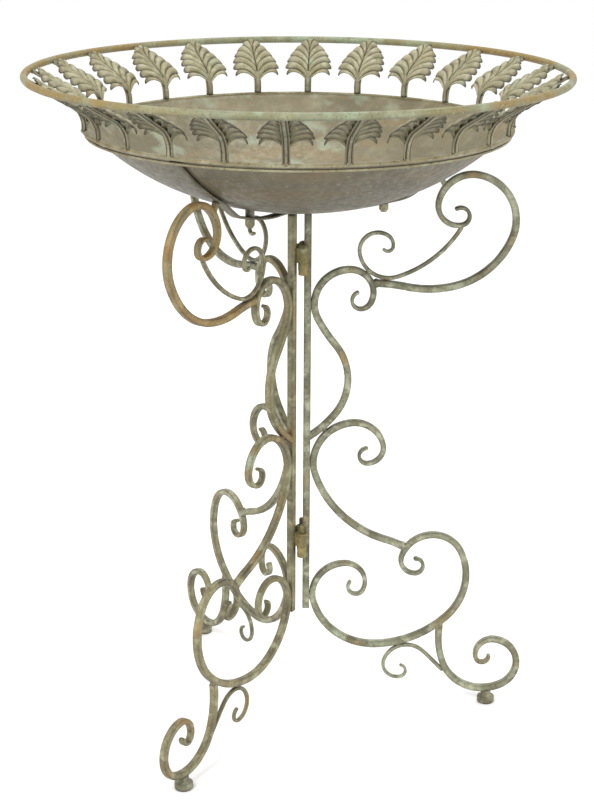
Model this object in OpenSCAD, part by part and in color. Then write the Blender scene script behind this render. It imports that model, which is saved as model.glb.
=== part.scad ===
// Wrought-iron bird bath. Three scrolled legs fold on pin hinges round a post
// cluster and carry a lift-off basin with a leaf gallery and a round top ring.
// +Z is up, the floor is z = 0, the axis of the basin is the Z axis, leg 1 is on +X.

/* [Top ring] */
// Outside diameter of the top ring
ring_outside_d = 600; // [598:1:604]
// Diameter of the ring's round bar
ring_bar_d = 8; // [7:0.5:9]
// Overall height, at the top of the ring
overall_h = 772.5; // [772:0.5:774]

/* [Basin] */
// Radius of the spun sheet's edge
basin_edge_r = 229; // [227:0.5:230]
// Height of the basin's flat underside
basin_base_z = 624; // [623.8:0.1:625]
// Radius of the basin's curved wall
basin_curve_r = 296; // [295:0.5:297]
// Thickness of the spun sheet
basin_t = 1.5; // [1:0.25:1.5]
// Diameter of the wire round the rim
rim_wire_d = 4; // [3:0.5:4]
// Diameter of the wire ring that joins the straps
cradle_wire_d = 3; // [2.5:0.5:4]

/* [Leaf gallery] */
// Width of a leaf stem
stem_w = 6; // [5:0.5:8]
// Thickness of a leaf stem
stem_t = 3; // [2:0.5:3]
// Thickness of a pressed leaf
leaf_t = 1.5; // [1:0.25:1.5]
// Width of a leaf across its lower lobes
leaf_w = 54; // [48:1:56]

/* [Cradle] */
// Width of a strap under the basin
strap_w = 12; // [10:0.5:12]
// Thickness of a strap
strap_t = 2.5; // [2:0.25:2.5]
// Diameter of the peg under a strap
peg_d = 10.5; // [9:0.5:11]
// Diameter of the spacer between a strap and the basin
spacer_d = 10; // [8:0.5:11]
// Distance of the pegs from the axis
peg_out = 96; // [92:1:104]

/* [Legs] */
// Square bar of the posts and scrolls
bar = 8; // [7.5:0.5:8]
// Square bar of the braces
brace_bar = 4.5; // [4:0.5:5]
// Distance of a post's middle from the axis
post_out = 11.5; // [11.5:0.1:11.8]
// Height of the posts' lower ends
post_low_z = 130; // [120:1:140]
// Height of the posts' upper ends
post_high_z = 613; // [606:1:614]

/* [Hinges] */
// Outside diameter of a knuckle
knuckle_d = 11; // [10:0.5:11]
// Diameter of the upper pins
upper_pin_d = 5; // [4:0.5:5.5]
// Diameter of the lower pins
lower_pin_d = 6; // [5:0.5:6]
// Clearance all round a pin
pin_gap = 0.05; // [0.02:0.01:0.1]
// Gap between two knuckles
knuckle_gap = 0.3; // [0.2:0.1:0.5]

/* [Feet] */
// Diameter of a foot pad
pad_d = 21; // [18:1:21]
// Height of a foot pad
pad_h = 8; // [6:0.5:9]
// Diameter of the neck between pad and scroll
neck_d = 10; // [8:0.5:12]

/* [Hidden] */
LEG_PARTS = ["post", "upper_scroll", "arm", "arm_brace", "middle_scroll",
             "lower_scroll", "foot_scroll", "foot_brace", "foot_pad"];
HINGE_PARTS = ["upper_fixed_knuckle", "upper_swing_knuckle", "upper_pin",
               "lower_fixed_knuckle", "lower_swing_knuckle", "lower_pin"];

$fn = 64;
smooth = 180;              // sides of the large rings and the basin
leg_angle = [0, -124.5, 119.5];
post_face = post_out + bar / 2;
post_side = bar / 2;
lap = 0.6;                 // how far each bend runs back into the bar before it
lap_step = 0.3;            // every second bend is this much slimmer, so it ends inside its neighbours

// A forged bar is a start point [out, up], a heading and a list of steps.
// A step is [bend radius, sweep, thickness], and radius 0 means a straight
// piece of that length. Sweeps to the left are positive.
upper_scroll_path = [[68.5, 520.5], -159,
  [[10, 173, 5.5], [14, 51, 7], [27, 115], [40, 118], [186, 11], [67, -77], [124, -20]]];
arm_path = [[86.5, 531.6], -2,
  [[214, -10], [127, 23], [92, 56], [54, 101], [38, 90], [23, 114, 7], [10, 198, 5.5]]];
arm_brace_path = [[184, 595], -120,
  [[96, -3], [127, -39], [34, -100], [20.5, -135], [13, -63], [6, -127]]];
middle_scroll_path = [[81.5, 332.5], -174,
  [[9.5, 175, 5.5], [19, 101], [35, 85], [49, 102], [132, 53], [114, -13]]];
lower_scroll_path = [[142, 191.5], 2,
  [[9.5, -184, 5.5], [17.5, -105, 7], [38, -137], [74, -72], [125, -43], [77, -77],
   [39, -102], [24.5, -117, 7], [9.5, -196, 5.5]]];
foot_scroll_path = [[174, 103], -98,
  [[102, 29], [53, 92], [32, 153], [19.5, 110, 7], [8, 165, 5.5]]];
foot_brace_path = [[128, 50.5], -15,
  [[8, -156], [18, -116], [28, -112], [82, -8], [0, 26]]];
arm_seat = [[165.2, 641.4], 117.6, 13];    // stub on an arm that a strap rests on: start, heading, length
arm_seat_w = 6;
strap_path = [[230.35, 706.4], 222.7,
  [[0, 10], [299, -16.7], [40, 10], [0, 19], [45, -24], [0, 26], [200, -12], [0, 42]]];

// Leaf gallery: it rises from the rim, bends outwards and slopes up to the ring
ring_mid_r = ring_outside_d / 2 - ring_bar_d / 2;
ring_mid_z = overall_h - ring_bar_d / 2;
gallery_r = 235;
gallery_bend_r = 30;
gallery_bend = 60;
stem_slope_l = 48.6;
leaf_count = 24;
leaf_groups = 4;
first_leaf_angle = 10;
leaf_back = stem_t / 2 + leaf_t / 2 + 0.1;   // from the stem's middle to the leaf's
leaf_start = 23.7;                           // how far up the bend a leaf begins
stem_path = [[gallery_r, 712.5], 90, [[0, 4.5], [gallery_bend_r, -gallery_bend], [0, stem_slope_l]]];

// Basin profile
basin_curve_mid = [20, basin_base_z + basin_curve_r - 1];
rim_wire_r = 234.7;
rim_wire_z = 710.5;
cradle_ring_r = 232.5;
cradle_ring_z = 705.5;
strap_peg_z = 624.7;       // height of the strap's middle over the pegs
peg_low_z = 614;

// Hinges: knuckles stand on the bisector of their two legs
hinge_out = 12.8;
hinge_half = [0, 62.25, 59.75];
upper_hinge_z = 544.5;
upper_fixed_h = 13.5;
upper_swing_h = 16.7;
lower_hinge_z = 201;
lower_fixed_h = 13;
lower_swing_h = 16.7;
lower_pin_h = 40;
collar_d = 13;
collar_h = 3;
tab_w = 2.9;
tab_l = 4.6;

// Feet stand under the lowest point of the foot scrolls
pad_out = 233.7;
neck_top_z = 17;

sage = "#8f9480";
olive = "#85805c";
ochre = "#9a8254";
brassy = "#8c7b4c";
taupe = "#7b7564";
khaki = "#a09a78";

function turn_centre(p, h, r, s) = p + r * (s > 0 ? [-sin(h), cos(h)] : [sin(h), -cos(h)]);
function after(p, h, k) = k[0] == 0 ? p + k[1] * [cos(h), sin(h)]
    : turn_centre(p, h, k[0], k[1])
      + k[0] * (k[1] > 0 ? [sin(h + k[1]), -cos(h + k[1])] : [-sin(h + k[1]), cos(h + k[1])]);

// Bar of thickness t and width w bent along its steps, flat in the XY plane
module bent_bar(p, h, steps, t, w, i = 0) {
  if (i < len(steps)) {
    k = steps[i];
    this_t = (len(k) > 2 ? k[2] : t) - (i % 2) * lap_step;
    this_w = w - (i % 2) * lap_step;
    if (k[0] == 0) {
      translate([p[0], p[1], 0])
        rotate([0, 0, h])
          translate([-(i > 0 ? lap : 0), -this_t / 2, -this_w / 2])
            cube([k[1] + (i > 0 ? lap : 0), this_t, this_w]);
    } else {
      c = turn_centre(p, h, k[0], k[1]);
      extra = i > 0 ? lap / k[0] * 180 / PI : 0;
      translate([c[0], c[1], 0])
        rotate([0, 0, k[1] > 0 ? h - 90 - extra : h + 90 + k[1]])
          rotate_extrude(angle = abs(k[1]) + extra, $fn = 96)
            translate([k[0] - this_t / 2, -this_w / 2])
              square([this_t, this_w]);
    }
    bent_bar(after(p, h, k), k[0] == 0 ? h : h + k[1], steps, t, w, i + 1);
  }
}

module forged(path, t = bar, w = bar) {
  bent_bar(path[0], path[1], path[2], t, w);
}

// Stands a flat drawing [out, up] in the plane of an angle round the axis
module upright(angle) {
  rotate([0, 0, angle])
    rotate([90, 0, 0])
      children();
}

module round_ring(r, z, d) {
  translate([0, 0, z])
    rotate_extrude($fn = smooth)
      translate([r, 0])
        circle(d = d, $fn = 32);
}

// Space behind the outer face of a post, which trims whatever is welded to it
module behind_post_face() {
  translate([post_face - 40, 0, -bar])
    cube([40, overall_h, 2 * bar]);
}

// ---- legs ----

module post(n) {
  color(n == 1 ? sage : olive)
    rotate([0, 0, leg_angle[n - 1]])
      translate([post_out - bar / 2, -bar / 2, post_low_z])
        cube([bar, bar, post_high_z - post_low_z]);
}

module upper_scroll(n) {
  color(olive)
    upright(leg_angle[n - 1])
      difference() {
        forged(upper_scroll_path);
        behind_post_face();
      }
}

module arm(n) {
  color(n == 2 ? ochre : sage)
    upright(leg_angle[n - 1])
      difference() {
        union() {
          forged(arm_path);
          translate([arm_seat[0][0], arm_seat[0][1], -arm_seat_w / 2])
            rotate([0, 0, arm_seat[1]])
              translate([0, -arm_seat_w / 2, 0])
                cube([arm_seat[2], arm_seat_w, arm_seat_w]);
        }
        forged(upper_scroll_path, w = bar + 2);
      }
}

module arm_brace(n) {
  color(olive)
    upright(leg_angle[n - 1])
      difference() {
        forged(arm_brace_path, brace_bar, brace_bar);
        forged(arm_path, w = bar + 2);
      }
}

module middle_scroll(n) {
  color(sage)
    upright(leg_angle[n - 1])
      difference() {
        forged(middle_scroll_path);
        forged(lower_scroll_path, w = bar + 2);
        behind_post_face();
      }
}

module lower_scroll(n) {
  color(sage)
    upright(leg_angle[n - 1])
      difference() {
        forged(lower_scroll_path);
        behind_post_face();
      }
}

module foot_scroll(n) {
  color(sage)
    upright(leg_angle[n - 1])
      difference() {
        forged(foot_scroll_path);
        forged(lower_scroll_path, w = bar + 2);
      }
}

module foot_brace(n) {
  color(olive)
    upright(leg_angle[n - 1])
      difference() {
        forged(foot_brace_path, brace_bar, brace_bar);
        forged(foot_scroll_path, w = bar + 2);
      }
}

module foot_pad(n) {
  color(taupe)
    difference() {
      rotate([0, 0, leg_angle[n - 1]])
        translate([pad_out, 0, 0]) {
          cylinder(d = pad_d, h = pad_h);
          cylinder(d = neck_d, h = neck_top_z);
        }
      upright(leg_angle[n - 1])
        forged(foot_scroll_path, w = neck_d + 2);
    }
}

// ---- hinges ----

// Knuckle of leg n on its hinge with a neighbour; side is +1 or -1 about the leg
module knuckle(n, half, side, z, h, bore_d, collar = false) {
  color(brassy)
    rotate([0, 0, leg_angle[n - 1]])
      translate([0, 0, z])
        difference() {
          union() {
            translate([hinge_out * cos(half), side * hinge_out * sin(half), 0]) {
              cylinder(d = knuckle_d, h = h);
              if (collar)
                translate([0, 0, h - collar_h])
                  cylinder(d = collar_d, h = collar_h);
            }
            translate([post_out - bar / 2, side > 0 ? post_side : -post_side - tab_l, 0])
              cube([tab_w, tab_l, h]);
          }
          translate([hinge_out * cos(half), side * hinge_out * sin(half), -1])
            cylinder(d = bore_d, h = h + 2);
        }
}

// Side of leg 1 on which the hinge with leg n stands
function hinge_side(n) = n == 2 ? -1 : 1;

module upper_fixed_knuckle(n) {
  knuckle(1, hinge_half[n - 1], hinge_side(n), upper_hinge_z, upper_fixed_h,
          upper_pin_d + 2 * pin_gap);
}

module upper_swing_knuckle(n) {
  knuckle(n, hinge_half[n - 1], -hinge_side(n), upper_hinge_z + upper_fixed_h + knuckle_gap,
          upper_swing_h, upper_pin_d + 2 * pin_gap);
}

module lower_fixed_knuckle(n) {
  knuckle(1, hinge_half[n - 1], hinge_side(n), lower_hinge_z, lower_fixed_h,
          lower_pin_d + 2 * pin_gap);
}

module lower_swing_knuckle(n) {
  knuckle(n, hinge_half[n - 1], -hinge_side(n), lower_hinge_z + lower_fixed_h + knuckle_gap,
          lower_swing_h, lower_pin_d + 2 * pin_gap, true);
}

module at_hinge(n) {
  rotate([0, 0, hinge_side(n) * hinge_half[n - 1]])
    translate([hinge_out, 0, 0])
      children();
}

module upper_pin(n) {
  shank_h = upper_fixed_h + knuckle_gap + upper_swing_h;
  color(brassy)
    at_hinge(n)
      translate([0, 0, upper_hinge_z]) {
        cylinder(d = upper_pin_d, h = shank_h + 1);
        translate([0, 0, shank_h])
          intersection() {
            translate([0, 0, -2.2])
              sphere(r = 5.7);
            cylinder(d = knuckle_d, h = 4);
          }
      }
}

module lower_pin(n) {
  color(brassy)
    at_hinge(n)
      translate([0, 0, lower_hinge_z]) {
        cylinder(d = lower_pin_d, h = lower_pin_h - 1.5);
        translate([0, 0, lower_pin_h - 1.5])
          cylinder(d1 = lower_pin_d, d2 = lower_pin_d - 2, h = 1.5);
      }
}

// ---- basin and gallery ----

module basin_outside() {
  intersection() {
    translate(basin_curve_mid)
      circle(r = basin_curve_r, $fn = 360);
    translate([0, basin_base_z])
      square([basin_edge_r, rim_wire_z - 1 - basin_base_z]);
  }
}

module basin() {
  color(taupe)
    difference() {
      rotate_extrude($fn = smooth) {
        difference() {
          basin_outside();
          intersection() {
            translate(basin_curve_mid)
              circle(r = basin_curve_r - basin_t, $fn = 360);
            translate([-1, basin_base_z + basin_t])
              square([basin_edge_r + 1, 100]);
          }
        }
        translate([basin_edge_r - basin_t, rim_wire_z - basin_t])
          square([rim_wire_r - basin_edge_r + basin_t, basin_t]);
      }
      round_ring(rim_wire_r, rim_wire_z, rim_wire_d);
    }
}

module rim_wire() {
  color(khaki)
    round_ring(rim_wire_r, rim_wire_z, rim_wire_d);
}

module cradle_ring() {
  color(taupe)
    round_ring(cradle_ring_r, cradle_ring_z, cradle_wire_d);
}

module top_ring() {
  color(khaki)
    round_ring(ring_mid_r, ring_mid_z, ring_bar_d);
}

module strap(n) {
  color(taupe)
    difference() {
      upright(leg_angle[n - 1])
        forged(strap_path, strap_t, strap_w);
      cradle_ring();
    }
}

module cradle_pegs() {
  color(olive)
    for (n = [1:3])
      difference() {
        rotate([0, 0, leg_angle[n - 1]])
          translate([peg_out, 0, peg_low_z]) {
            translate([0, 0, 3])
              cylinder(d = peg_d, h = strap_peg_z - peg_low_z - 3);
            cylinder(d1 = peg_d - 4, d2 = peg_d, h = 3);
          }
        upright(leg_angle[n - 1])
          forged(strap_path, strap_t, strap_w + 2);
      }
}

module cradle_spacers() {
  color(taupe)
    for (n = [1:3])
      difference() {
        rotate([0, 0, leg_angle[n - 1]])
          translate([peg_out, 0, strap_peg_z])
            cylinder(d = spacer_d, h = 12);
        upright(leg_angle[n - 1])
          forged(strap_path, strap_t, strap_w + 2);
        rotate_extrude($fn = smooth)
          basin_outside();
      }
}

// Pressed leaf: a curved foot and a lobed blade, on the basin's side of its stem
module leaf() {
  bend_r = gallery_bend_r + leaf_back;
  start = [gallery_r + gallery_bend_r - bend_r * cos(leaf_start), 717 + bend_r * sin(leaf_start)];
  blade = [gallery_r + gallery_bend_r - bend_r * cos(gallery_bend), 717 + bend_r * sin(gallery_bend)];
  lobes = [[6, 0.31, 10], [19, 0.32, 9.5], [31, 0.29, 9], [38.5, 0.13, 9]];
  upright(0)
    bent_bar(start, 90 - leaf_start, [[bend_r, leaf_start - gallery_bend], [0, 3]], leaf_t, leaf_w - 8);
  translate([blade[0], 0, blade[1]])
    rotate([0, gallery_bend - 90, 0])
      translate([0, 0, -leaf_t / 2])
        linear_extrude(leaf_t) {
          translate([0, -leaf_w * 0.3])
            square([40, leaf_w * 0.6]);
          for (l = lobes)
            for (side = [-1, 1])
              translate([l[0], side * l[1] * leaf_w])
                circle(r = l[2]);
        }
}

module leaves(g) {
  color(khaki)
    for (k = [0:leaf_count / leaf_groups - 1])
      rotate([0, 0, first_leaf_angle + (k + (g - 1) * leaf_count / leaf_groups) * 360 / leaf_count])
        leaf();
}

module stems(g) {
  color(taupe)
    for (k = [0:leaf_count / leaf_groups - 1])
      upright(first_leaf_angle + (k + (g - 1) * leaf_count / leaf_groups) * 360 / leaf_count)
        forged(stem_path, stem_t, stem_w);
}

for (n = [1:3]) {
  post(n);
  upper_scroll(n);
  arm(n);
  arm_brace(n);
  middle_scroll(n);
  lower_scroll(n);
  foot_scroll(n);
  foot_brace(n);
  foot_pad(n);
  strap(n);
}
for (n = [2:3]) {
  upper_fixed_knuckle(n);
  upper_swing_knuckle(n);
  upper_pin(n);
  lower_fixed_knuckle(n);
  lower_swing_knuckle(n);
  lower_pin(n);
}
basin();
rim_wire();
cradle_ring();
top_ring();
cradle_pegs();
cradle_spacers();
for (g = [1:leaf_groups]) {
  leaves(g);
  stems(g);
}
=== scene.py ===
import math
import random

import bpy
from mathutils import Matrix, Vector, noise


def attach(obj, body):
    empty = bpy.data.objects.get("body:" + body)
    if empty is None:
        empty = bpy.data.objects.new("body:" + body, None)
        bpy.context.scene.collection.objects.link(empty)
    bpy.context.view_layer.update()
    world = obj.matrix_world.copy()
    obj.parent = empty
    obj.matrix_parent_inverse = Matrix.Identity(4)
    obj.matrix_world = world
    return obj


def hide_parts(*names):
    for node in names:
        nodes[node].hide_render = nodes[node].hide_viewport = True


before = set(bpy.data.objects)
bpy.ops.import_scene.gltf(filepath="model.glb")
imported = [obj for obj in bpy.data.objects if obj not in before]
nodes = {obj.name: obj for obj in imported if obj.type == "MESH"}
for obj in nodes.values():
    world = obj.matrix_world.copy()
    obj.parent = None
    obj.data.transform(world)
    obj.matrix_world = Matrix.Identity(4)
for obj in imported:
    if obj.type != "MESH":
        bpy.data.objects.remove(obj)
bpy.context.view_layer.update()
scene = bpy.context.scene
random.seed(7)

mm = 0.001
legAngles = {1: 0.0, 2: -124.5, 3: 119.5}  # degrees from +X

viewFrom = {"place": (-0.0731, -1.9193, 1.0336), "tilt": 71.54, "turn": -2.18, "roll": 0.25, "lens": 78.77,
            "sensor": 36}
cameraData = bpy.data.cameras.new("gardenCamera")
cameraData.lens = viewFrom["lens"]
cameraData.sensor_width = viewFrom["sensor"]
camera = bpy.data.objects.new("gardenCamera", cameraData)
scene.collection.objects.link(camera)
camera.matrix_world = (Matrix.Translation(viewFrom["place"])
                       @ Matrix.Rotation(math.radians(viewFrom["turn"]), 4, "Z")
                       @ Matrix.Rotation(math.radians(viewFrom["tilt"]), 4, "X")
                       @ Matrix.Rotation(math.radians(viewFrom["roll"]), 4, "Z"))
scene.camera = camera

softLights = {
    "keyLight": {"place": (-1.2, -1.9, 2.4), "aim": (0, 0, 0.5), "size": 0.9, "watts": 36},
    "fillLight": {"place": (1.9, -1.2, 1.2), "aim": (0, 0, 0.4), "size": 1.2, "watts": 9},
    "topLight": {"place": (0.3, 0.9, 2.6), "aim": (0, 0, 0.6), "size": 1.2, "watts": 14},
}
for name, light in softLights.items():
    data = bpy.data.lights.new(name, "AREA")
    data.shape = "DISK"
    data.size = light["size"]
    data.energy = light["watts"]
    lamp = bpy.data.objects.new(name, data)
    lamp.location = light["place"]
    lamp.rotation_euler = (Vector(light["aim"]) - Vector(light["place"])).to_track_quat("-Z", "Y").to_euler()
    scene.collection.objects.link(lamp)

room = {"color": (1.0, 1.0, 1.0, 1), "strength": 1.0}
world = bpy.data.worlds.new("paleRoom")
scene.world = world
world.use_nodes = True
world.node_tree.nodes["Background"].inputs["Color"].default_value = room["color"]
world.node_tree.nodes["Background"].inputs["Strength"].default_value = room["strength"]
scene.view_settings.view_transform = "Standard"
print("camera and lights ready")


def linearColor(hexText):
    channels = [int(hexText[i:i + 2], 16) / 255 for i in (1, 3, 5)]
    return [c / 12.92 if c <= 0.04045 else ((c + 0.055) / 1.055) ** 2.4 for c in channels] + [1.0]


def addNode(tree, kind, settings=None, links=None):
    node = tree.nodes.new(kind)
    for key, value in (settings or {}).items():
        if isinstance(key, str) and hasattr(node, key):
            setattr(node, key, value)
        else:
            node.inputs[key].default_value = value
    for key, socket in (links or {}).items():
        tree.links.new(socket, node.inputs[key])
    return node


# What every coat shares: sizes in mm, and how much of each colour covers the one under it
brushwork = {
    "smallPatch": 0.3,  # small patches, as a share of the large ones
    "light": 0.75, "wash": 0.85, "mint": 0.7, "rub": 0.45,
    "speckleMm": 2.2,  # real specks are finer, drawn as coarse as they need to show
    "rubMm": 5.0, "sheenMm": 6,
    "gritMm": 1.6,  # real grit is finer too, drawn coarser so that it shows
    "lumpMm": 9.0, "lumpHeight": 2.5, "reliefMm": 0.25,
    "poolMm": 70, "poolFromMm": 90, "poolToMm": 200,
}


def agedPaint(name, look):
    # Wrought iron under brushed-on verdigris paint, rubbed with an ochre wash: matt, mottled,
    # dark where the brush missed, pale where the high spots were wiped
    material = bpy.data.materials.new(name)
    material.use_nodes = True
    tree = material.node_tree
    tree.nodes.clear()
    coord = addNode(tree, "ShaderNodeTexCoord").outputs["Object"]

    def patches(sizeMm, low, high, shift, detail=3.0, stretch=None):
        place = coord
        if stretch:
            place = addNode(tree, "ShaderNodeMapping", {"Scale": stretch}, {"Vector": coord}).outputs[0]
        cloud = addNode(tree, "ShaderNodeTexNoise",
                        {"noise_dimensions": "4D", "Scale": 1000 / sizeMm, "Detail": detail,
                         "W": look["seed"] + shift},
                        {"Vector": place})
        ramp = addNode(tree, "ShaderNodeMapRange",
                       {"interpolation_type": "SMOOTHSTEP", "From Min": low, "From Max": high},
                       {"Value": cloud.outputs["Fac"]})
        return ramp.outputs["Result"]

    normal = addNode(tree, "ShaderNodeNewGeometry").outputs["Normal"]
    up = addNode(tree, "ShaderNodeSeparateXYZ", {}, {0: normal}).outputs["Z"]
    wash = patches(look["washMm"], 1 - look["wash"], 1.18 - look["wash"], 4.7, 5.0, look["streak"])
    mint = patches(look["mintMm"], 1 - look["mint"], 1.12 - look["mint"], 8.3, 5.0)
    if look["mintInside"]:  # only the faces that look up hold the pale bloom, which also stands as a painted highlight from above
        upFacingHighlight = addNode(tree, "ShaderNodeMapRange", {"From Min": -0.1, "From Max": 0.25},
                         {"Value": up}).outputs[0]
        mint = addNode(tree, "ShaderNodeMath", {"operation": "MULTIPLY"}, {0: mint, 1: upFacingHighlight}).outputs[0]
    coats = [
        (patches(look["patchMm"], 0.36, 0.64, 0.0), look["second"], 1.0),
        (patches(look["patchMm"] * brushwork["smallPatch"], 0.45, 0.7, 2.1), look["light"], brushwork["light"]),
        (wash, look["washColor"], brushwork["wash"]),
        (mint, look["mintColor"], brushwork["mint"]),
    ]
    if look["sideWash"]:  # the wash pools where the ring was held to dry, left and right
        across = addNode(tree, "ShaderNodeSeparateXYZ", {}, {0: coord}).outputs["X"]
        aside = addNode(tree, "ShaderNodeMath", {"operation": "ABSOLUTE"}, {0: across}).outputs[0]
        reach = addNode(tree, "ShaderNodeMapRange",
                        {"From Min": brushwork["poolFromMm"] * mm, "From Max": brushwork["poolToMm"] * mm},
                        {"Value": aside}).outputs[0]
        pooled = addNode(tree, "ShaderNodeMath", {"operation": "MULTIPLY"},
                         {0: reach, 1: patches(brushwork["poolMm"], 0.38, 0.55, 6.0)}).outputs[0]
        coats.append((pooled, look["washColor"], look["sideWash"]))
    # Painted shade: the faces that look down are darkened towards the dark colour
    under = addNode(tree, "ShaderNodeMapRange", {"From Min": -0.1, "From Max": -0.9},
                    {"Value": up}).outputs["Result"]
    # Painted shade: crevices and the gaps between parts are darkened by ambient occlusion
    occlusion = addNode(tree, "ShaderNodeAmbientOcclusion", {"samples": 4, "Distance": look["creviceMm"] * mm})
    creviceShade = addNode(tree, "ShaderNodeMapRange", {"From Min": 0.8, "From Max": 0.25},
                      {"Value": occlusion.outputs["AO"]}).outputs["Result"]
    # The cavity mark each piece carries is darkened: painted shade on bar and strap edges and on curled leaf
    # tips, and darker leaf veins, stem seams and welds
    cavity = addNode(tree, "ShaderNodeAttribute", {"attribute_name": "cavity"}).outputs["Fac"]
    coats += [
        (under, look["dark"], look["underside"]),
        (patches(brushwork["speckleMm"], 0.56, 0.66, 11.9, 2.0), look["dark"], look["speckle"]),
        (patches(brushwork["rubMm"], 0.6, 0.68, 15.2, 4.0), look["light"], brushwork["rub"]),
        (creviceShade, look["dark"], look["creviceShade"]),
        (cavity, look["dark"], look["cavity"]),
    ]
    color = None
    for where, hexText, share in coats:
        amount = addNode(tree, "ShaderNodeMath", {"operation": "MULTIPLY", 1: share}, {0: where}).outputs[0]
        mixer = addNode(tree, "ShaderNodeMix",
                        {"data_type": "RGBA", 6: linearColor(look["base"]), 7: linearColor(hexText)},
                        {0: amount})
        if color:
            tree.links.new(color, mixer.inputs[6])
        color = mixer.outputs[2]

    rough = addNode(tree, "ShaderNodeMapRange", {"To Min": look["rough"] - 0.1, "To Max": look["rough"] + 0.12},
                    {"Value": patches(brushwork["sheenMm"], 0.3, 0.7, 19.0)}).outputs["Result"]
    grit = addNode(tree, "ShaderNodeTexNoise", {"Scale": 1000 / brushwork["gritMm"], "Detail": 4.0},
                   {"Vector": coord})
    lumps = addNode(tree, "ShaderNodeTexNoise", {"Scale": 1000 / brushwork["lumpMm"], "Detail": 2.0},
                    {"Vector": coord})
    relief = addNode(tree, "ShaderNodeMath", {"operation": "MULTIPLY_ADD", 1: brushwork["lumpHeight"]},
                     {0: lumps.outputs["Fac"], 2: grit.outputs["Fac"]})
    bump = addNode(tree, "ShaderNodeBump", {"Strength": look["bump"], "Distance": brushwork["reliefMm"] * mm},
                   {"Height": relief.outputs[0]})
    paint = addNode(tree, "ShaderNodeBsdfPrincipled", {"Metallic": look["metal"], "IOR": 1.5},
                    {"Base Color": color, "Roughness": rough, "Normal": bump.outputs["Normal"]})
    addNode(tree, "ShaderNodeOutputMaterial", {}, {"Surface": paint.outputs["BSDF"]})
    return material


# Paint on forged bar, wiped while wet: grey green with ochre in it, matt, with painted shade in the hollows,
# along the bar's edges and on the faces that look down.
# A higher wash or mint covers more of the piece. A streak squeezes the wash's patches along Z
sage = {"base": "#8A8A70", "second": "#69674E", "light": "#B9BA9E", "dark": "#2E2A20", "patchMm": 42,
        "washColor": "#927B51", "wash": 0.46, "washMm": 34, "streak": None, "sideWash": 0.0,
        "mintColor": "#A3B093", "mint": 0.42, "mintMm": 26, "mintInside": False,
        "underside": 0.35, "speckle": 0.5, "cavity": 0.9, "creviceShade": 0.8, "creviceMm": 7,
        "rough": 0.55, "bump": 0.5, "metal": 0.1, "seed": 1.0}
# The same paint with more umber in it: warmer, and less green shows
olive = dict(sage, base="#837C5A", second="#6E674A", light="#AEAB88", washColor="#94794A", wash=0.48, mint=0.36,
             seed=31.0)
# Rust-brown wash left on thick, which hides most of the green
ochre = dict(sage, base="#857048", second="#8C743F", light="#AB9565", washColor="#94703A", wash=0.5,
             mintColor="#7F7B5F", mint=0.5, speckle=0.55, seed=52.0)
finishes = {
    "leg1Verdigris": sage,
    "leg2Verdigris": olive,
    "leg3Verdigris": dict(sage, base="#85805F", second="#6E6A50", wash=0.45, mint=0.38, seed=71.0),
    "armOchreWash": ochre,
    # Turned feet, dulled by the ground
    "padPaint": dict(sage, base="#77745C", second="#656049", light="#9C9A80", seed=12.0),
    # Knuckles and pins: browner than the bars, with painted shade in the joints
    "hingePaint": dict(olive, base="#79703F", second="#655C38", light="#A1935C", washColor="#85703E", seed=81.0,
                       creviceMm=4),
    # Spun sheet: smoother than the bars, weathered brown, with painted shade below and a pale bloom inside,
    # kept to the faces that look up as a painted highlight from above
    "basinPatina": dict(sage, base="#786F55", second="#6A6349", light="#8B8469", washColor="#82714D", wash=0.5,
                        mintColor="#949D85", mint=0.47, patchMm=80, washMm=38, mintMm=45,
                        streak=(0.35, 0.35, 3.2), mintInside=True, underside=0.62, speckle=0.2, creviceShade=0.3,
                        rough=0.5, bump=0.25, seed=5.0),
    # Pressed sheet, wiped pale on the lobes, darker in the veins, with painted shade on the tips that roll back
    "leafPaint": dict(sage, base="#979172", second="#878161", light="#AFAB8D", washColor="#8E7B53", wash=0.42,
                      mintColor="#969E82", mint=0.42, patchMm=30, underside=0.45, speckle=0.25, cavity=0.9,
                      creviceMm=3, creviceShade=0.5, seed=3.0),
    "stemPaint": dict(sage, base="#958E70", second="#817A5E", light="#ABA78C", wash=0.44, cavity=0.92,
                      seed=9.0),
    # Round bar, green on top, with ochre pooled left and right
    "ringPaint": dict(sage, base="#84866B", second="#7A7857", light="#9CA185", washColor="#8C733A", wash=0.4,
                      mintColor="#93A286", mint=0.5, patchMm=70, underside=0.4, speckle=0.35, sideWash=0.9,
                      seed=15.0),
    "rimPaint": dict(sage, base="#8E8768", second="#80744E", light="#ABA486", washColor="#856838", wash=0.42,
                     patchMm=80, cavity=0.0, seed=24.0),
    # Straps in the basin's shade, painted darker for it, with painted shade at their edges
    "cradlePaint": dict(sage, base="#6F6A56", second="#5C5643", light="#8F8B74", mint=0.3, cavity=1.0,
                        seed=44.0),
}
paints = {name: agedPaint(name, look) for name, look in finishes.items()}
print("paints ready:", len(paints))


def makePiece(name, shape, paint, body, replaced=()):
    vertices, faces, cavity = shape
    mesh = bpy.data.meshes.new(name)
    mesh.from_pydata(vertices, [], faces)
    mesh.validate()
    mesh.materials.append(paints[paint])
    mesh.shade_smooth()
    layer = mesh.attributes.new("cavity", "FLOAT", "POINT")
    layer.data.foreach_set("value", cavity)
    piece = bpy.data.objects.new(name, mesh)
    scene.collection.objects.link(piece)
    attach(piece, body)
    if replaced:
        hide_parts(*replaced)
    return piece


def paintAndWear(node, paint, wornMm):
    # A small piece shown as it is in the frame: painted, with its edges worn round
    node.data.materials.clear()
    node.data.materials.append(paints[paint])
    edge = node.modifiers.new("wornEdge", "BEVEL")
    edge.width = wornMm * mm
    edge.segments = 2
    edge.limit_method = "ANGLE"


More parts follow.
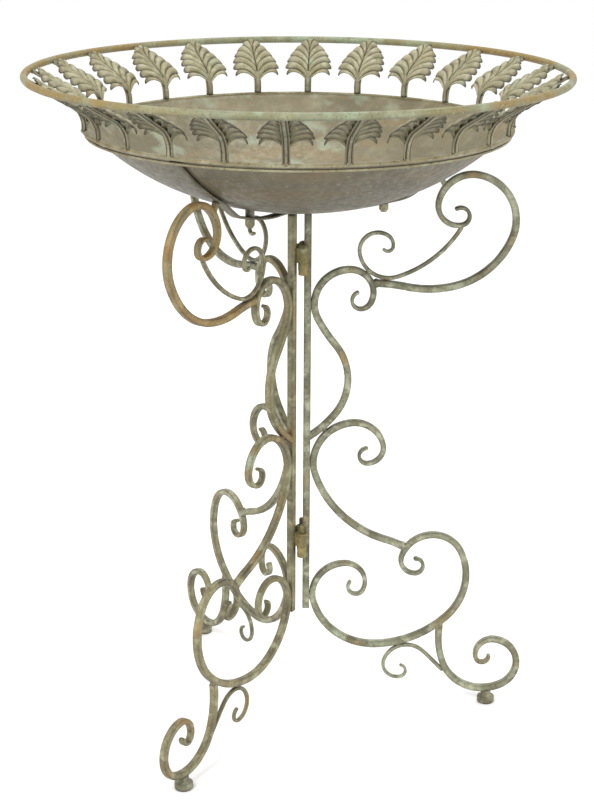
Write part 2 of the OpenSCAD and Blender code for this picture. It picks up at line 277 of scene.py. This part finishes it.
def legPoint(angle, out, up, side=0.0):
    a = math.radians(angle)
    return Vector((out * math.cos(a) - side * math.sin(a), out * math.sin(a) + side * math.cos(a), up)) * mm


def wobble(point, size, amount):
    return amount * noise.noise(Vector(point) / size)


pathSpacing = 2.0  # mm between the sections of a bar
softenOver = 7  # sections on each side that a change of thickness is spread over


def forgedPath(start, heading, steps, thick):
    # Points along bends of [radius, sweep, thickness]: place, direction and a smoothed thickness.
    # A radius of 0 is a straight stretch, with its length in place of the sweep
    place = Vector(start)
    direction = math.radians(heading)
    track = []
    for step in steps:
        radius, amount = step[0], step[1]
        stepThick = step[2] if len(step) > 2 else thick
        length = amount if radius == 0 else radius * abs(math.radians(amount))
        count = max(3, math.ceil(length / pathSpacing))
        for i in range(count):
            track.append((place.copy(), direction, stepThick))
            if radius:
                turn = math.radians(amount) / count
                chord = 2 * radius * math.sin(abs(turn) / 2)
                place += chord * Vector((math.cos(direction + turn / 2), math.sin(direction + turn / 2)))
                direction += turn
            else:
                place += length / count * Vector((math.cos(direction), math.sin(direction)))
    track.append((place.copy(), direction, stepThick))
    thicknesses = [t for _, _, t in track]
    smooth = []
    for i, (p, d, _) in enumerate(track):
        window = thicknesses[max(0, i - softenOver):i + softenOver + 1]
        smooth.append((p, d, sum(window) / len(window)))
    return smooth


edgeShade = (0.25, 0.6, 0.25)  # painted shade over the three points of a bar's corner, where its faces turn from the light


def roundedSection(thick, wide, corner):
    # Points (u, v, dark) round a bar with soft corners
    corner = min(corner, thick * 0.48, wide * 0.48)
    points = []
    for quarter, (sx, sy) in enumerate(((1, 1), (-1, 1), (-1, -1), (1, -1))):
        for i, dark in enumerate(edgeShade):
            a = math.radians(90 * quarter + 45 * i)
            points.append((sx * (thick / 2 - corner) + corner * math.cos(a),
                           sy * (wide / 2 - corner) + corner * math.sin(a), dark))
        middle = ((0, wide / 2), (-thick / 2, 0), (0, -wide / 2), (thick / 2, 0))[quarter]
        points.append((*middle, 0.0))
    return points


noseAngles = (25, 50, 70, 85)  # degrees round the nose that closes a bar's tip


def sweptBar(track, angle, wide, corner, tips=(False, False), forge=0.14):
    # A bar swept along its track in a leg's plane; a tip closes in a rounded nose, else the end is cut square
    rings = [(p, d, t, 1.0) for p, d, t in track]
    for atEnd, rounded in enumerate(tips):
        if not rounded:
            continue
        p, d, t = track[-1] if atEnd else track[0]
        sign = 1 if atEnd else -1
        nose = [(p + sign * t * 0.5 * math.sin(math.radians(q)) * Vector((math.cos(d), math.sin(d))), d, t,
                 max(0.12, math.cos(math.radians(q)))) for q in noseAngles]
        rings = rings + nose if atEnd else nose[::-1] + rings
    vertices, darkening = [], []
    for p, d, t, share in rings:
        jitter = 1 + wobble((p.x, p.y, angle), 11, forge * 0.35)  # hammer marks about 11 mm apart
        # Painted shade on the bar's edges, varied in strength along the bar
        edgeShadeJitter = 0.8 + wobble((p.y, angle, p.x), 23, 0.9)
        for u, v, dark in roundedSection(t * jitter, wide * (2 - jitter), corner):
            u, v = u * share, v * share
            vertices.append(legPoint(angle, p.x - u * math.sin(d), p.y + u * math.cos(d), v))
            darkening.append(max(0.0, min(1.0, dark * edgeShadeJitter)))
    around = len(vertices) // len(rings)
    faces = []
    for i in range(len(rings) - 1):
        for j in range(around):
            k = (j + 1) % around
            faces.append((i * around + j, i * around + k, (i + 1) * around + k, (i + 1) * around + j))
    faces.append(tuple(reversed(range(around))))
    faces.append(tuple((len(rings) - 1) * around + j for j in range(around)))
    return vertices, faces, darkening


def joinParts(parts):
    vertices, faces, darkening = [], [], []
    for partVertices, partFaces, partDarkening in parts:
        base = len(vertices)
        vertices += partVertices
        faces += [tuple(base + i for i in f) for f in partFaces]
        darkening += partDarkening
    return vertices, faces, darkening


pinhole = 0.2  # mm, the radius at which a turned profile ends, so that no face shrinks to a point


def revolved(profile, segments, ripple=0.0):
    # Turns a closed profile of (radius, height) in mm round the Z axis
    vertices, faces = [], []
    count = len(profile)
    for i in range(segments):
        a = 2 * math.pi * i / segments
        for r, z in profile:
            lift = wobble((math.cos(a) * r, math.sin(a) * r, z), 60, ripple)
            vertices.append(Vector((r * math.cos(a), r * math.sin(a), z + lift)) * mm)
    for i in range(segments):
        n = (i + 1) % segments
        for j in range(count):
            k = (j + 1) % count
            faces.append((i * count + j, n * count + j, n * count + k, i * count + k))
    return vertices, faces, [0.0] * len(vertices)


beadShape = {"rings": 6, "around": 9, "lumpy": 0.25, "darkening": 0.1}


def weldBead(center, size, squash=(1, 1, 1)):
    # A lumpy blob of weld metal
    rings, around = beadShape["rings"], beadShape["around"]
    vertices, faces = [], []
    for i in range(rings + 1):
        polar = math.pi * i / rings
        for j in range(around):
            a = 2 * math.pi * j / around
            way = Vector((math.sin(polar) * math.cos(a), math.sin(polar) * math.sin(a), math.cos(polar)))
            lump = 1 + beadShape["lumpy"] * noise.noise(way * 1.6 + center * 400)
            vertices.append(center + Vector([way[k] * squash[k] for k in range(3)]) * size * lump * mm)
    for i in range(rings):
        for j in range(around):
            k = (j + 1) % around
            faces.append((i * around + j, (i + 1) * around + j, (i + 1) * around + k, i * around + k))
    return vertices, faces, [beadShape["darkening"]] * len(vertices)


barStock = {"wide": 7.9, "corner": 1.3}
braceStock = {"wide": 4.4, "corner": 1.0}
# Where each bar starts (out, up), its heading, and its bends; the last bends of a scroll are hammered thinner
scrolls = {
    "upper_scroll": {"start": (68.5, 520.5), "heading": -159, "thick": 8, "tips": (True, False),
                     "steps": [(10, 173, 4.0), (14, 51, 5.6), (27, 115, 7.2), (40, 118), (186, 11), (67, -77),
                               (124, -20)]},
    "arm": {"start": (86.5, 531.6), "heading": -2, "thick": 8, "tips": (False, True),
            "steps": [(214, -10), (127, 23), (92, 56), (54, 101), (38, 90, 7.6), (23, 114, 6), (10, 198, 4.2)]},
    "arm_brace": {"start": (184, 595), "heading": -120, "thick": 4.5, "tips": (False, True),
                  "steps": [(96, -3), (127, -39), (34, -100), (20.5, -135), (13, -63, 4.2), (6, -127, 3.6)]},
    "middle_scroll": {"start": (81.5, 332.5), "heading": -174, "thick": 8, "tips": (True, False),
                      "steps": [(9.5, 175, 3.8), (19, 101, 5.6), (35, 85, 7.2), (49, 102), (132, 53),
                                (114, -13)]},
    "lower_scroll": {"start": (142, 191.5), "heading": 2, "thick": 8, "tips": (True, True),
                     "steps": [(9.5, -184, 3.9), (17.5, -105, 5.2), (38, -137, 7.2), (74, -72), (125, -43),
                               (77, -77), (39, -102, 7.2), (24.5, -117, 5.6), (9.5, -196, 3.9)]},
    "foot_scroll": {"start": (174, 103), "heading": -98, "thick": 8, "tips": (False, True),
                    "steps": [(102, 29), (53, 92), (32, 153), (19.5, 110, 6.2), (8, 165, 4.4)]},
    "foot_brace": {"start": (128, 50.5), "heading": -15, "thick": 4.5, "tips": (True, False),
                   "steps": [(8, -156, 3.4), (18, -116, 3.8), (28, -112), (82, -8), (0, 26)]},
}
post = {"out": 11.5, "low": 130, "high": 613, "side": 8.1, "corner": 1.0, "forge": 0.06, "sections": 160}
pad = {"out": 233.7, "across": 21, "high": 8, "soft": 1.4, "neck": 12, "neckTop": 15.5, "segments": 40}
seat = {"start": (165.2, 641.4), "heading": 117.6, "long": 13, "side": 6, "corner": 1.0}
# Welds of a leg: out, up and size in mm
welds = [(16.5, 350.5, 4.2), (16.6, 508, 3.8), (16.6, 315, 4.0), (16.6, 146, 4.6), (89, 531.6, 4.6),
         (80, 543.6, 3.2), (183.6, 596.5, 3.2), (126, 209, 4.6), (32, 356.5, 3.2), (173.5, 105, 4.6),
         (124.5, 78, 3.0), (178, 45.5, 3.2)]
weldSquash = (1, 1, 1.15)


def postTrack():
    rise = (post["high"] - post["low"]) / post["sections"]
    return [(Vector((post["out"], post["low"] + i * rise)), math.pi / 2, post["side"])
            for i in range(post["sections"] + 1)]


def padProfile():
    half, neckHalf, soft, high = pad["across"] / 2, pad["neck"] / 2, pad["soft"], pad["high"]
    flat = half - soft
    profile = [(pinhole, 0), (flat, 0)]
    profile += [(flat + soft * math.sin(q), soft - soft * math.cos(q)) for q in (0.5, 1.0, math.pi / 2)]
    profile += [(flat + soft * math.cos(q), high - soft + soft * math.sin(q))
                for q in (0.1, 0.6, 1.1, math.pi / 2)]
    profile += [(neckHalf + 2.2, high + 0.3), (neckHalf + 0.6, high + 1.4), (neckHalf, high + 3)]
    return profile + [(neckHalf - 0.3, pad["neckTop"]), (pinhole, pad["neckTop"])]


for n, angle in legAngles.items():
    body = f"leg_{n}"
    legPaint = f"leg{n}Verdigris"
    for part, shape in scrolls.items():
        track = forgedPath(shape["start"], shape["heading"], shape["steps"], shape["thick"])
        stock = braceStock if "brace" in part else barStock
        forged = sweptBar(track, angle, stock["wide"], stock["corner"], shape["tips"])
        if part == "arm":
            stub = forgedPath(seat["start"], seat["heading"], [(0, seat["long"])], seat["side"])
            forged = joinParts([forged, sweptBar(stub, angle, seat["side"], seat["corner"])])
        paint = "armOchreWash" if (n == 2 and part == "arm") else legPaint
        makePiece(f"leg_{n}_{part}_forged", forged, paint, body, [f"leg_{n}_{part}"])
    forged = sweptBar(postTrack(), angle, post["side"], post["corner"], forge=post["forge"])
    makePiece(f"leg_{n}_post_forged", forged, legPaint, body, [f"leg_{n}_post"])
    beads = [weldBead(legPoint(angle, out, up), size, weldSquash) for out, up, size in welds]
    makePiece(f"leg_{n}_welds", joinParts(beads), legPaint, body)
    vertices, faces, darkening = revolved(padProfile(), pad["segments"])
    center = legPoint(angle, pad["out"], 0)
    makePiece(f"leg_{n}_foot_pad_turned", ([v + center for v in vertices], faces, darkening), "padPaint", body,
              [f"leg_{n}_foot_pad"])
print("legs ready")

hingeWornMm = 0.5
for name, node in nodes.items():
    if name.startswith("hinge_"):
        paintAndWear(node, "hingePaint", hingeWornMm)
print("hinges ready")

# The wall is an arc of radius curve, round a centre at curveOut and curveUp
basin = {"curve": 296, "curveOut": 20, "curveUp": 919, "base": 624, "edge": 229, "thick": 1.5, "rimUp": 710.5,
         "wallSteps": 60, "segments": 256, "ripple": 0.35}
wires = {
    "top_ring": {"radius": 296, "up": 768.4, "across": 8, "paint": "ringPaint", "slot": "ring_paint"},
    "rim_wire": {"radius": 234.7, "up": 710.5, "across": 4.4, "paint": "rimPaint", "slot": "ring_paint"},
    "cradle_ring": {"radius": 232.5, "up": 705.2, "across": 3.2, "paint": "rimPaint", "slot": "cradle_paint"},
}
wireSides, wireSegments = 14, 288


def basinWall(radius, thinner):
    return basin["curveUp"] - math.sqrt((basin["curve"] - thinner) ** 2 - (radius - basin["curveOut"]) ** 2)


def wallPoints(start, end, thinner):
    radii = [start + (end - start) * i / basin["wallSteps"] for i in range(basin["wallSteps"] + 1)]
    return [(r, basinWall(r, thinner)) for r in radii]


def basinProfile():
    base, edge, rimUp, inside = basin["base"], basin["edge"], basin["rimUp"], basin["base"] + basin["thick"]
    outer = [(pinhole, base + 0.1), (30, base + 0.1), (43, base + 0.1), (45, base)]
    outer += wallPoints(46, edge, 0)
    lip = [(edge + 2.5, rimUp - 1.3), (edge + 4.4, rimUp - 0.9), (edge + 4.4, rimUp - 0.1), (edge + 2, rimUp)]
    inner = wallPoints(edge - 1.6, 46.4, basin["thick"])
    return outer + lip + inner + [(44, inside), (30, inside), (pinhole, inside)]


dish = revolved(basinProfile(), basin["segments"], basin["ripple"])
makePiece("basin_spun", dish, "basinPatina", "basin_set", ["basin"])

for name, wire in wires.items():
    half = wire["across"] / 2
    turns = [2 * math.pi * j / wireSides for j in range(wireSides)]
    ring = [(wire["radius"] + half * math.cos(a), wire["up"] + half * math.sin(a)) for a in turns]
    makePiece(f"{name}_bent", revolved(ring, wireSegments), wire["paint"], "basin_set", [name])
print("basin and rings ready")

# Flat bar from the rim, down along the wall and level under the base
strap = {"start": (230.35, 706.4), "heading": 222.7, "thick": 2.5, "wide": 12, "corner": 0.8, "forge": 0.05,
         "steps": [(0, 10), (299, -16.7), (40, 10), (0, 19), (45, -24), (0, 26), (200, -12), (0, 42)]}
cradleWornMm = 0.6
cradlePaints = {"cradle_pegs": "leg2Verdigris", "cradle_spacers": "cradlePaint"}
for n, angle in legAngles.items():
    track = forgedPath(strap["start"], strap["heading"], strap["steps"], strap["thick"])
    flatBar = sweptBar(track, angle, strap["wide"], strap["corner"], forge=strap["forge"])
    makePiece(f"strap_{n}_bent", flatBar, "cradlePaint", "basin_set", [f"strap_{n}"])
for name, paint in cradlePaints.items():
    paintAndWear(nodes[name], paint, cradleWornMm)
print("cradle ready")

# The leaves stand on a skirt that rises from the rim and flares out in one bend
gallery = {"out": 235, "bend": 30, "bendUp": 717, "sweep": 60, "stemStart": 712.5, "leaves": 24, "groups": 4,
           "first": 10}


def galleryPoint(along, inward):
    # A point on the gallery's flared surface: path length from the rim and distance towards the basin
    straight = gallery["bendUp"] - gallery["stemStart"]
    bend = gallery["bend"]
    sweep = math.radians(gallery["sweep"])
    middle = gallery["out"] + bend
    if along <= straight:
        return gallery["out"] - inward, gallery["stemStart"] + along
    turned = (along - straight) / bend
    radius = bend + inward
    if turned <= sweep:
        return middle - radius * math.cos(turned), gallery["bendUp"] + radius * math.sin(turned)
    rest = along - straight - bend * sweep
    return (middle - radius * math.cos(sweep) + rest * math.sin(sweep),
            gallery["bendUp"] + radius * math.sin(sweep) + rest * math.cos(sweep))


# Tips are the lobes' ends (across, along), roots are where their veins leave the midrib
leafShape = {"base": 17.0,
             "tips": [(26, 4), (28, 15.5), (26.5, 28), (23, 40), (17.5, 51), (9, 59.5), (0.3, 64)],
             "roots": [-6, -1, 8, 19, 31, 43, 54], "thick": 1.1, "lift": 2.4, "lean": 0.02,
             "notch": 0.14, "groove": 1.7, "puff": 1.8, "curl": 4.5, "curlFrom": 0.78,
             "rib": 0.9, "ribHalf": 1.4, "overRing": 3.2, "ringFrom": 48, "ringOver": 16,
             "rowsPerLobe": 12, "columns": 14}


def between(values, share):
    spot = max(0.0, min(share, 1.0)) * (len(values) - 1)
    i = min(int(spot), len(values) - 2)
    f = spot - i
    a, b = values[i], values[i + 1]
    if isinstance(a, tuple):
        return tuple(p + (q - p) * f for p, q in zip(a, b))
    return a + (b - a) * f


def leafGrid(turn, lean):
    # One pressed leaf: veins fan out from the midrib, lobes swell between grooves and their tips roll back
    leaf = leafShape
    lobes = len(leaf["tips"])
    rows, cols = (lobes - 1) * leaf["rowsPerLobe"], leaf["columns"]
    top, cavity, faces = [], [], []
    for side in (-1, 1):
        base = len(top)
        for i in range(rows + 1):
            share = i / rows
            phase = share * (lobes - 1)
            off = 2 * abs(phase - round(phase))  # 0 at a lobe's middle, 1 in the groove between two lobes
            tipX, tipY = between(leaf["tips"], share)
            rootY = between(leaf["roots"], share)
            bendX, bendY = tipX * 0.45, max(rootY + 5, tipY + 6 * (1 - share))
            rollShare = 0.9 if share < 0.8 else 0.2  # the side lobes roll back, the top one hardly
            for j in range(cols + 1):
                t = j / cols * (1 - leaf["notch"] * off ** 3)
                x = 2 * t * (1 - t) * bendX + t * t * tipX
                y = (1 - t) ** 2 * rootY + 2 * t * (1 - t) * bendY + t * t * tipY
                swell = leaf["puff"] * (1 - off ** 2) * math.sin(math.pi * min(1, t * 1.02)) ** 0.8
                groove = leaf["groove"] * off ** 4 * math.sin(math.pi * min(1, 0.12 + t * 0.8))
                roll = leaf["curl"] * max(0.0, (t - leaf["curlFrom"]) / (1 - leaf["curlFrom"])) ** 2 * rollShare
                rib = leaf["rib"] * math.exp(-(x / leaf["ribHalf"]) ** 2)
                over = leaf["overRing"] * max(0.0, (y - leaf["ringFrom"]) / leaf["ringOver"]) ** 1.5
                radius, up = galleryPoint(leaf["base"] + y, leaf["lift"] + swell - groove - roll - rib + over)
                top.append(legPoint(turn, radius, up, side * x + lean * y * leaf["lean"]))
                # Darker in the grooves between lobes and along the midrib; painted shade where the tips roll
                # back
                fold = off ** 4 * max(0.0, min(1, (t - 0.2) / 0.4))
                midrib = math.exp(-x ** 2) if share < 0.95 else 0.0
                tipShade = max(0.0, (t - 0.84) / 0.16) ** 1.3
                cavity.append(min(1.0, fold + midrib + tipShade))
        for i in range(rows):
            for j in range(cols):
                corner = base + i * (cols + 1) + j
                quad = (corner, corner + 1, corner + cols + 2, corner + cols + 1)
                faces.append(quad if side > 0 else quad[::-1])
    return top, faces, cavity


# Layers of a stem: the flat, the dark seams on it and the light rib
stemLayers = [{"wide": 8.2, "thick": 2.4, "out": 0.0, "dark": 0.2},
              {"wide": 5.8, "thick": 1.2, "out": 1.1, "dark": 1.0},
              {"wide": 2.8, "thick": 1.8, "out": 1.6, "dark": 0.0}]
stem = {"foot": 4.5, "top": 48.0, "corner": 0.5, "forge": 0.04}
stalk = {"points": 12, "from": 0.5, "step": 2.1, "inward": 2.3, "thick": 2.0, "wide": 5.4, "corner": 0.9}
stemWelds = [{"out": 235.6, "up": 712.2, "size": 3.0, "squash": (1, 1, 0.8)},
             {"out": 291.8, "up": 766.3, "size": 2.6, "squash": (1, 1, 1)}]


def stemParts(turn):
    # Flat stem with a raised middle rib, a leaf stalk behind it and welds at the rim and the top ring
    bends = [(0, stem["foot"]), (gallery["bend"], -gallery["sweep"]), (0, stem["top"])]
    track = forgedPath((gallery["out"], gallery["stemStart"]), 90, bends, stemLayers[0]["thick"])
    parts = []
    for layer in stemLayers:
        shifted = [(p + layer["out"] * Vector((math.sin(d), -math.cos(d))), d, layer["thick"])
                   for p, d, _ in track]
        vertices, faces, _ = sweptBar(shifted, turn, layer["wide"], stem["corner"], forge=stem["forge"])
        parts.append((vertices, faces, [layer["dark"]] * len(vertices)))
    # The leaf's own stalk lies on the inner side
    stalkTrack = []
    for i in range(stalk["points"]):
        here, there = (galleryPoint(stalk["from"] + stalk["step"] * k, stalk["inward"]) for k in (i, i + 1))
        slope = math.atan2(there[1] - here[1], there[0] - here[0])
        stalkTrack.append((Vector(here), slope, stalk["thick"]))
    parts.append(sweptBar(stalkTrack, turn, stalk["wide"], stalk["corner"], (False, True), stem["forge"]))
    for weld in stemWelds:
        parts.append(weldBead(legPoint(turn, weld["out"], weld["up"]), weld["size"], weld["squash"]))
    return parts


perGroup = gallery["leaves"] // gallery["groups"]
for group in range(gallery["groups"]):
    turns = [gallery["first"] + (group * perGroup + k) * 360 / gallery["leaves"] for k in range(perGroup)]
    leaves = joinParts([leafGrid(turn, random.uniform(-1, 1)) for turn in turns])
    leafPiece = makePiece(f"leaves_{group + 1}_pressed", leaves, "leafPaint", "basin_set",
                          [f"leaves_{group + 1}"])
    shell = leafPiece.modifiers.new("sheet", "SOLIDIFY")
    shell.thickness = leafShape["thick"] * mm
    shell.offset = 0
    stems = joinParts([part for turn in turns for part in stemParts(turn)])
    makePiece(f"stems_{group + 1}_forged", stems, "stemPaint", "basin_set",
              [f"stems_{group + 1}"])
print("leaf gallery ready")

ground = {"half": 6, "color": "#FFFFFF", "rough": 0.9}  # metres from the middle to an edge
corners = [(x * ground["half"], y * ground["half"], 0) for x, y in ((-1, -1), (1, -1), (1, 1), (-1, 1))]
floorMesh = bpy.data.meshes.new("paleFloor")
floorMesh.from_pydata(corners, [], [(0, 1, 2, 3)])
floor = bpy.data.objects.new("paleFloor", floorMesh)
scene.collection.objects.link(floor)
floorPaint = bpy.data.materials.new("paleFloor")
floorPaint.use_nodes = True
floorShader = floorPaint.node_tree.nodes["Principled BSDF"]
floorShader.inputs["Base Color"].default_value = linearColor(ground["color"])
floorShader.inputs["Roughness"].default_value = ground["rough"]
floorMesh.materials.append(floorPaint)
